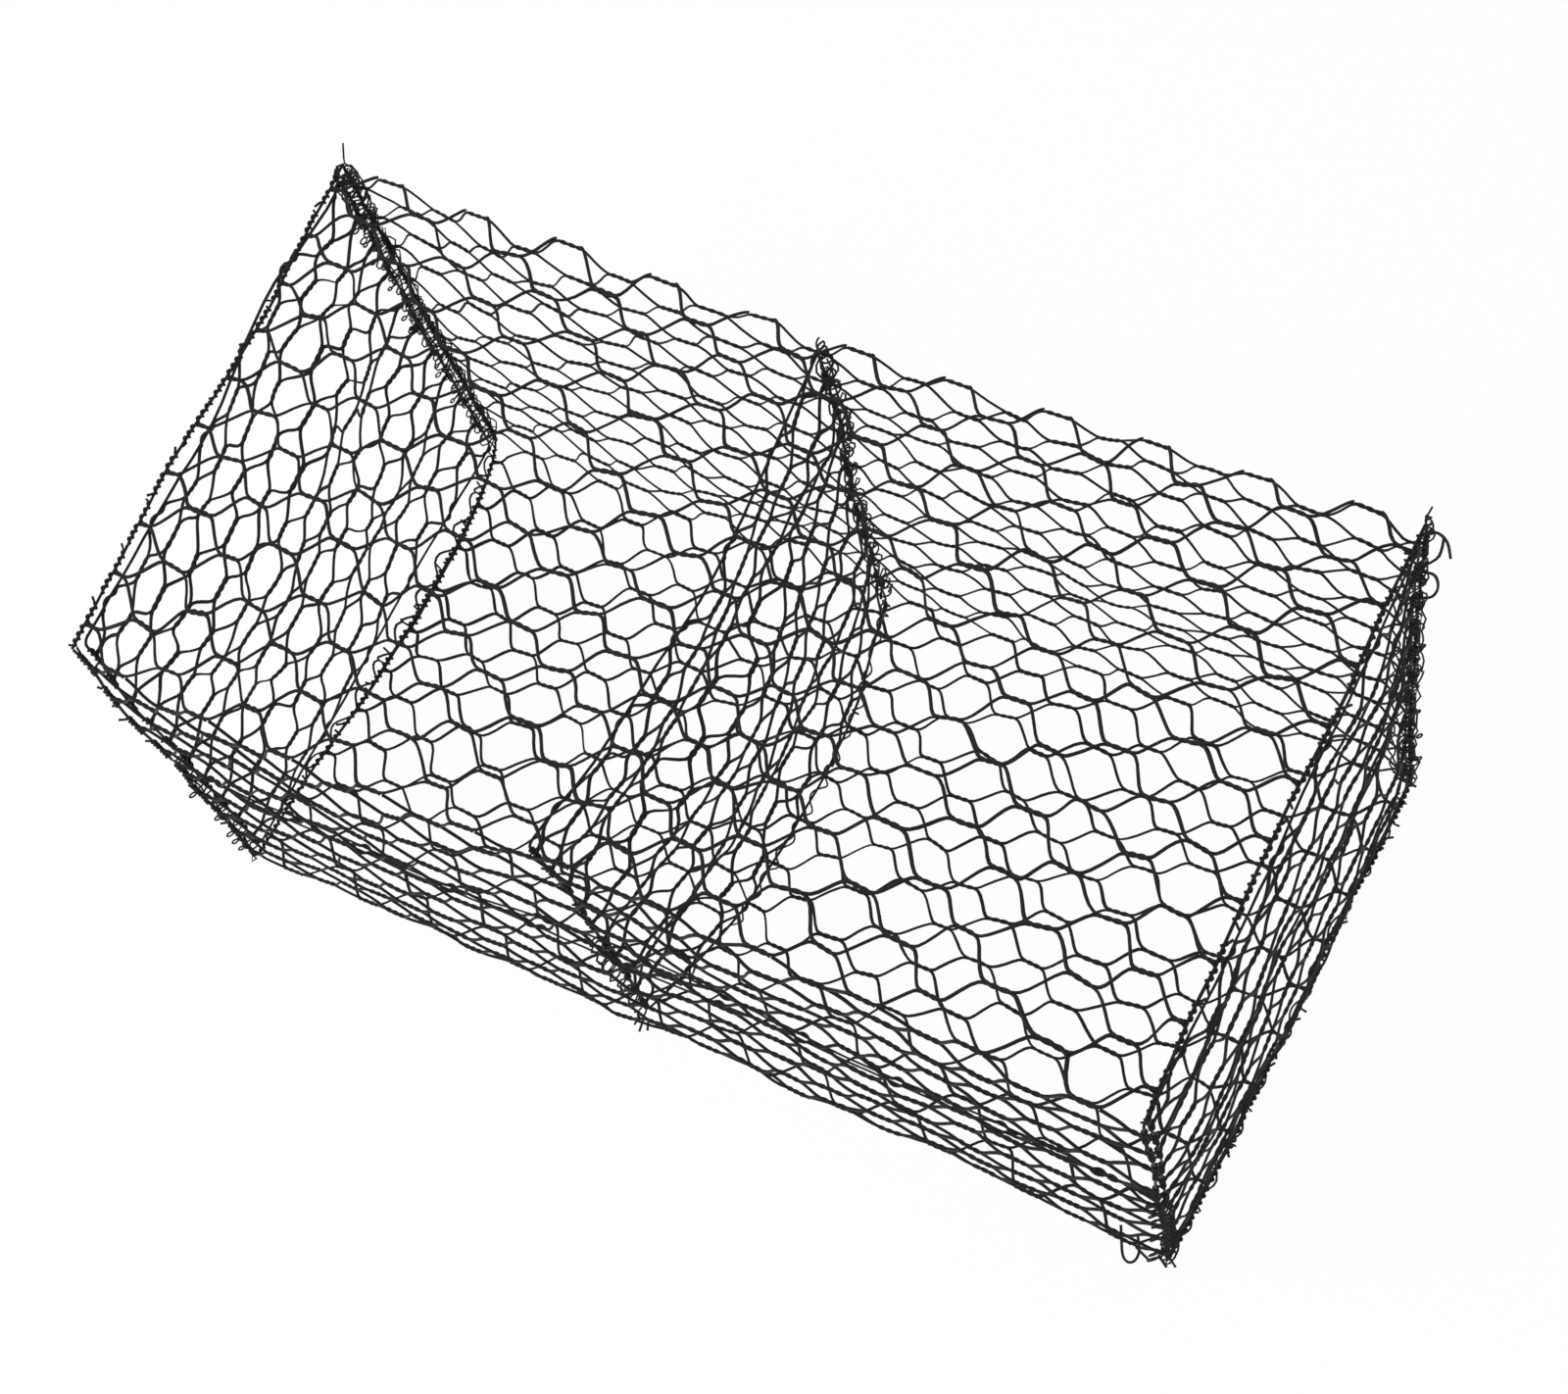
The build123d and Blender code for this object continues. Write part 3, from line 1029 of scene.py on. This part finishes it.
# %% Lace the right end at the back
edge = along_upright(right, back, 1)
top_corner = (right, back, fold_z)
back_path = [
    *chain(edge, 40 * mm, back_head, 4 * mm, -7 * mm, 15 * mm, 94 * mm),
    *chain(edge, 70 * mm, back_head, -4 * mm, -28 * mm, 7 * mm, 70 * mm),
    *run_along(edge, foot, fold_z - 190 * mm, 4 * mm, 13 * mm, 7 * mm)[::-1],
    *lacing_path(edge, foot, back_head, 90 * mm, (18 * mm, 15 * mm), (0.8, 0.6), 0.4, (0.9, 1.1)),
    *knot(right - 4 * mm, back - 4 * mm, fold_z - 140 * mm, 19 * mm, 6, 17 * mm, 0.5),
    *knot(right + 2 * mm, back + 8 * mm, fold_z - 44 * mm, 10 * mm, 5, 13 * mm, 0.5),
    *beside(top_corner, (2, 20, 28)),
]
back_tails = [
    beside(top_corner, (0, 0, -20), (16, 10, -28), (30, 14, -56), (38, 12, -96)),
    beside(top_corner, (24, 12, -42), (22, 6, -90), (4, 0, -122)),
    beside(top_corner, (2, 0, -146), (20, 4, -156), (28, 4, -190), (21, 2, -226), (2, 0, -240)),
    beside(top_corner, (0, -10, -76), (-26, -12, -80)),
    beside((right, back, on_ground), (-24, 0, 10), (-6, 0, 4), (13, 0, 0)),
]
add_lacing("right_back_lacing", back_path, back_tails, back_lacing_wire)

# %% Lace the right end at the front
edge = along_upright(right, front, -1)
front_corner = (right, front, on_ground)
front_path = [
    *run_along(edge, foot, front_run_head, 4 * mm, -6 * mm, 9 * mm),
    *lacing_path(edge, 20 * mm, front_head, 44 * mm, (19 * mm, 8 * mm), (1, -1), 0.5, (1.3, 0.6)),
]
front_tails = [
    [
        (right - 100 * mm, front + 20 * mm, base_z + 12 * mm),
        *beside(front_corner, (-90, 0, 4), (-79, -22, 0), (-70, -32, 0), (-60, -33, 0)),
        *beside(front_corner, (-53, -24, 0), (-54, -6, 0), (-66, 16, 6)),
    ],
    beside(front_corner, (-62, -2, 0), (-28, -16, 0)),
    beside(front_corner, (-20, 0, 2), (2, -15, 0)),
]
add_lacing("right_front_lacing", front_path, front_tails)

# %% [markdown]
# ## Lacing the divider and the floor
#
# The divider has one wire up the back and one up the front, whose ends fan out at its foot.
# Along the floor each upright panel is tied to the base with wide, even turns.

# %% Lace the divider
divider_head = fold_z - 70 * mm
edge = along_upright(divider_x, back, 1)
add_lacing(
    "diaphragm_back_lacing",
    [
        *run_along(edge, foot, divider_head, 6 * mm, 0, 8 * mm),
        *lacing_path(edge, foot, divider_head, 52 * mm, (18 * mm, 14 * mm), (-1, 0.5), 0.6),
        *knot(divider_x, back - 8 * mm, fold_z - 80 * mm, 14 * mm, 5, 15 * mm, 0.5),
    ],
    [beside((divider_x, back, on_ground), (0, 0, 11), (-4, 22, 0))],
)

edge = along_upright(divider_x, front, -1)
fan = [(-8, 12), (3, 22), (13, 15)]
add_lacing(
    "diaphragm_front_lacing",
    lacing_path(edge, foot, front_head, 50 * mm, (16 * mm, 11 * mm), (1, 0.6), 0.4),
    [beside((divider_x, front, on_ground), (x, 6, 9), (1.4 * x, -reach, 0)) for x, reach in fan],
)

# %% Lace the floor edges
floor_lacings = [("left", left, 80 * mm), ("right", right, 90 * mm), ("diaphragm", divider_x, 60 * mm)]
for word, x, spacing in floor_lacings:
    path = lacing_path(
        along_floor(x), front + 40 * mm, back - 30 * mm, spacing, (bundle_half, 9 * mm), (1, 0.5), 0.15
    )
    add_lacing(f"{word}_bottom_lacing", path)
print(len(lacings), "lacing wires")

# %% [markdown]
# ## Settling the basket
#
# An empty gabion is never square. Its loose bottom edges bow, the left end parts from the
# lid, the seam gapes, and the corners lean. Each of these is a smooth move that a mesh and the
# wires on it get alike, so that they stay joined. How far each goes follows the photograph.

# %% Bow the loose bottom edges
left_bow = 56 * mm
divider_bow = 84 * mm


def widest_near_back(share):
    """A bow from the back (0) to the front (1), of height 1 at a third of the way."""
    return 6.75 * share * (1 - share) ** 2


def widest_midway(share):
    """A bow from the back (0) to the front (1), of height 1 halfway."""
    return 4 * share * (1 - share)


def bow(piece, near_x, reach, height, amount, shape):
    """Moves what lies within reach of an upright plane along X, most at the bottom."""
    for vertex in piece.data.vertices:
        place = vertex.co
        share = min(max((back_y - place.y) / (2 * back_y), 0), 1)
        low_down = max(1 - place.z / height, 0)
        close_by = max(1 - abs(place.x - near_x) / reach, 0)
        place.x += amount * shape(share) * low_down * close_by


for piece in (panels["base_mesh"], edge_wires["body_edge_wire_left"], lacings["left_bottom_lacing"]):
    bow(piece, -end_x, reach=0.6, height=0.06, amount=left_bow, shape=widest_near_back)
divider_wires = [edge_wires["diaphragm_edge_wire"], lacings["diaphragm_bottom_lacing"]]
for piece in [panels["diaphragm_mesh"], *divider_wires]:
    bow(piece, divider_x, reach=2, height=0.9, amount=divider_bow, shape=widest_midway)
print("bowed by up to", round(left_bow / mm), "and", round(divider_bow / mm), "mm")

# %% Part the top of the left end from the lid
parting_y = 0.2
parting_half_length = 0.27
parting_width = 0.3
parting_foot = 0.6
parting_height = 0.4


def push_top_edge(piece, edge_x, amount):
    """Moves a stretch of a level edge near the lid along X, most at parting_y."""
    for vertex in piece.data.vertices:
        place = vertex.co
        along = max(1 - abs(place.y - parting_y) / parting_half_length, 0)
        near = max(1 - abs(place.x - edge_x) / parting_width, 0)
        high_up = max((place.z - parting_foot) / parting_height, 0)
        place.x += amount * along * along * (3 - 2 * along) * near * high_up


for piece in (panels["left_end_mesh"], edge_wires["left_end_edge_wire"]):
    push_top_edge(piece, -end_x, -34 * mm)
for piece in (panels["lid_mesh"], edge_wires["lid_edge_wire_left"]):
    push_top_edge(piece, -end_x, 8 * mm)

# %% Let the seam gape
seam_fade = 0.2


def part_seam(piece, seam_z, amount):
    """Moves what lies near the seam along Y, most in mid-length, so that its two edges show apart."""
    for vertex in piece.data.vertices:
        place = vertex.co
        share = min(max((place.x + end_x) / (2 * end_x), 0), 1)
        wave = math.sin(math.pi * share) * (1 + 0.5 * math.sin(5 * math.pi * share))
        place.y += amount * wave * max(1 - abs(place.z - seam_z) / seam_fade, 0)


for piece in (panels["lower_front_mesh"], edge_wires["body_front_selvedge_wire"]):
    part_seam(piece, lower_seam_z, 11 * mm)
for piece in (panels["flap_mesh"], edge_wires["flap_selvedge_wire"]):
    part_seam(piece, upper_seam_z, -8 * mm)

# %% [markdown]
# ## Leaning corners
#
# A lattice round the whole basket moves all the wires together. It has five columns along the
# basket and two points each way across, so each of the four long edges can be bent by itself.
# Then a last smooth noise waves everything a little. It lifts nothing that lies on the ground.

# %% Build the cage
columns = 5
cage_size = Vector((2.0, 1.0, 1.0))
lean = {
    # how far each of the four long edges moves, in mm, from the left end to the right
    "bottom_front": [(0, -15, 0), (-18, -3, 2), (-34, 8, 4), (-38, 11, 3), (-34, 7, 2)],
    "bottom_back": [(-11, 1, 3), (-5, -7, 1), (2, -12, 0), (9, -6, 0), (16, 2, 0)],
    "top_front": [(53, 1, -3), (30, -17, -6), (6, 0, 0), (-12, -4, 0), (-27, -8, -1)],
    "top_back": [(0, 4, 2), (22, -1, 0), (37, -5, -4), (16, 3, 1), (-10, 11, 6)],
}
bpy.ops.object.select_all(action="DESELECT")
bpy.ops.object.add(type="LATTICE", location=(0, 0, 0.5))
cage = bpy.context.object
cage.scale = cage_size
cage.data.points_u = columns
cage.data.points_v = 2
cage.data.points_w = 2
cage.data.interpolation_type_u = "KEY_CARDINAL"
cage.data.interpolation_type_v = "KEY_LINEAR"
cage.data.interpolation_type_w = "KEY_LINEAR"
for row, moves in enumerate(lean.values()):
    for column, move in enumerate(moves):
        point = cage.data.points[row * columns + column]
        point.co_deform = point.co + Vector([value * mm / size for value, size in zip(move, cage_size)])
bpy.context.view_layer.update()
print("cage of", len(cage.data.points), "points")

# %% Settle every piece
broad_wave = 9 * mm
small_wave = 3 * mm
held_by_ground = 60 * mm


def settle(piece):
    """Bends a piece with the cage, and then waves it a little with everything round it."""
    select_only(piece)
    bpy.ops.object.modifier_add(type="LATTICE")
    piece.modifiers[-1].object = cage
    bpy.ops.object.modifier_apply(modifier=piece.modifiers[-1].name)
    for vertex in piece.data.vertices:
        place = vertex.co
        move = noise.noise_vector(place * 4.5) * broad_wave + noise.noise_vector(place * 15) * small_wave
        move.z *= min(max((place.z - base_z) / held_by_ground, 0), 1)
        vertex.co = place + move


for piece in [*panels.values(), *edge_wires.values(), *lacings.values()]:
    settle(piece)
bpy.data.objects.remove(cage)
print("settled", len(panels) + len(edge_wires) + len(lacings), "pieces")

# %% [markdown]
# ## Coated wire
#
# The wire is galvanised steel in a charcoal plastic coat. It is nearly black, a little
# uneven in colour, satin where it is clean and dull where dust lies on it, and paler where it
# was rubbed. A painted image would need a layout of every wire, so the finish is worked out
# from the place itself. Noise at three scales gives the uneven colour, the scuffs and the
# fine grain, and dust settles on what faces up.

# %% Build the wire finishes
patch_scale = 6.0
scuff_scale = 160.0
grain_scale = 900.0
scuff_edge = 9
dust_cover = 0.12
dust_colour = (0.09, 0.088, 0.08, 1)


def noise_value(place, scale):
    """A noise texture on object coordinates."""
    return place.node("ShaderNodeTexNoise", "Fac", None, {"Vector": place, "Scale": scale, "Detail": 3.0})


def coated_wire(name, colour, worn_colour, rubbing, roughness):
    """Charcoal plastic on steel wire. rubbing is how much of it is scuffed pale."""
    material = bpy.data.materials.new(name)
    material.use_nodes = True
    tree = material.node_tree
    shader = tree.nodes["Principled BSDF"]
    place = Value(tree).node("ShaderNodeTexCoord", "Object")
    facing = Value(tree).node("ShaderNodeTexCoord", "Normal")
    upward = facing.node("ShaderNodeSeparateXYZ", "Z", None, {"Vector": facing}).clamp()
    broad = noise_value(place, patch_scale)
    fine = noise_value(place, scuff_scale)
    grain = noise_value(place, grain_scale)
    scuff = ((fine - (1 - rubbing)) * scuff_edge).clamp()
    dust = (upward * (broad - 0.35) * 0.9).clamp() * dust_cover
    paler = tuple(1.5 * part for part in colour[:3]) + (1,)
    worn = scuff.between(broad.between(colour, paler), worn_colour)
    dusty = dust.between(worn, dust_colour)
    rough = (roughness + 0.12 * fine + 0.25 * dust + 0.1 * scuff).clamp()
    relief = {"Height": grain * 0.5 + fine * 0.5, "Strength": 0.25, "Distance": 0.4 * mm}
    bump = place.node("ShaderNodeBump", 0, None, relief)
    tree.links.new(dusty.socket, shader.inputs["Base Color"])
    tree.links.new(rough.socket, shader.inputs["Roughness"])
    tree.links.new(bump.socket, shader.inputs["Normal"])
    shader.inputs["Specular IOR Level"].default_value = 0.15
    print(name, len(tree.nodes), "nodes")
    return material


rubbed = (0.04, 0.04, 0.04, 1)
rubbed_lacing = (0.06, 0.06, 0.06, 1)
mesh_finish = coated_wire("mesh_wire_coat", (0.005, 0.005, 0.006, 1), rubbed, 0.34, 0.5)
edge_finish = coated_wire("edge_wire_coat", (0.004, 0.004, 0.005, 1), rubbed, 0.36, 0.46)
lacing_finish = coated_wire("lacing_wire_coat", (0.007, 0.007, 0.008, 1), rubbed_lacing, 0.4, 0.5)

# %% [markdown]
# ## The bodies that the pieces follow
#
# Every piece follows the body that its node belongs to, except those of the lid and the flap.
# They are part of the sheet, so their wires would have to bend at the fold: up to a centimetre
# from it follow the body that they hang on, from two and a half on their own, and in between
# turn smoothly. A hinge there would tear the arms off the twists. The places of the bend are
# listed, but the lid's and the flap's pieces only have their place baked into their meshes, so
# they neither follow a body nor bend, and they do not open.

# %% Which body each piece follows
body_of_node = {}
for body, nodes in frame["record"]["behaviour"]["bodies"].items():
    for node in nodes:
        body_of_node[node] = body

bend_from = 9 * mm
bend_to = 24 * mm
bends = {
    # moving body: what it hangs on, where it starts to bend, where it is all its own
    "lid": ("basket", (0, back_y - bend_from, lid_z), (0, back_y - bend_to, lid_z)),
    "flap": ("lid", (0, -back_y, fold_z - bend_from), (0, -back_y, fold_z - bend_to)),
}


def follow(piece, body):
    """Makes a piece move with its body; a lid or flap piece only has its place baked into its mesh."""
    if body in bends:
        hung_on, bend_start, bend_end = bends[body]
        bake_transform(piece)
        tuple(bend_start)
        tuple(bend_end)
    else:
        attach(piece, body)


# %% [markdown]
# ## Handing the pieces over
#
# Each piece gets its finish and smooth shading, and the plain node that it replaces is hidden.
# Its box is printed, so that a piece that went astray is found at once.

# %% Finish and replace
def box_of(piece):
    """The lowest and the highest corner of a piece, rounded for printing."""
    places = [vertex.co for vertex in piece.data.vertices]
    low = [round(min(place[axis] for place in places), 4) for axis in range(3)]
    high = [round(max(place[axis] for place in places), 4) for axis in range(3)]
    return low, high


groups = [
    (panels, mesh_finish, "mesh_wire"),
    (edge_wires, edge_finish, "edge_wire"),
    (lacings, lacing_finish, "lacing_wire"),
]
smooth_below = math.radians(70)
triangles = 0
for pieces, finish, slot_name in groups:
    for node, piece in pieces.items():
        piece.data.materials.clear()
        piece.data.materials.append(finish)
        select_only(piece)
        bpy.ops.object.shade_smooth_by_angle(angle=smooth_below)
        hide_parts(node)
        follow(piece, body_of_node[node])
        count = sum(len(face.vertices) - 2 for face in piece.data.polygons)
        triangles += count
        print(node, count, "triangles, from and to", *box_of(piece))
print("triangles in all", triangles)
